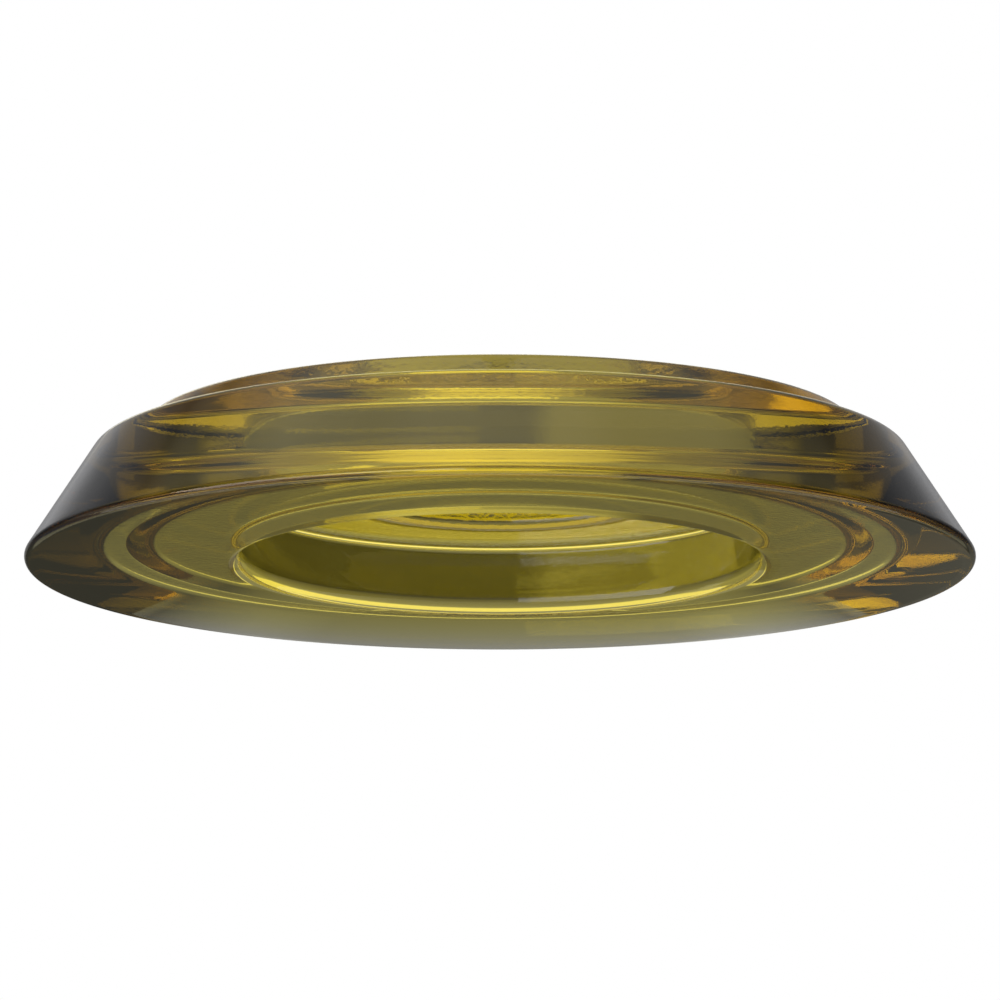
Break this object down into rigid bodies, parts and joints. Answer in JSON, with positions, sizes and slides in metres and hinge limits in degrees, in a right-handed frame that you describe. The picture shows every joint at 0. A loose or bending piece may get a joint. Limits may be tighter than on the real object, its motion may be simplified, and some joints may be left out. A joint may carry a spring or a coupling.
{
  "type": "pressed glass trim ring",
  "caption": "Thick amber pressed-glass ring with a conical side, a raised upper rim, a round recess in its broad lower face and a smaller hole through the lip above it.",
  "frame": {"origin": "centre of the broad lower face", "axes": "+Z along the ring's axis, from the broad lower face up to the narrow rim; X and Y are any two directions across it"},
  "size_m": [0.1142, 0.1142, 0.0173],
  "materials": {
    "amber_glass": "fire-polished pressed glass, transparent olive amber, faint pressing texture on the upper faces"
  },
  "bodies": {
    "root": {"glass_ring": "amber_glass"}
  },
  "joints": []
}
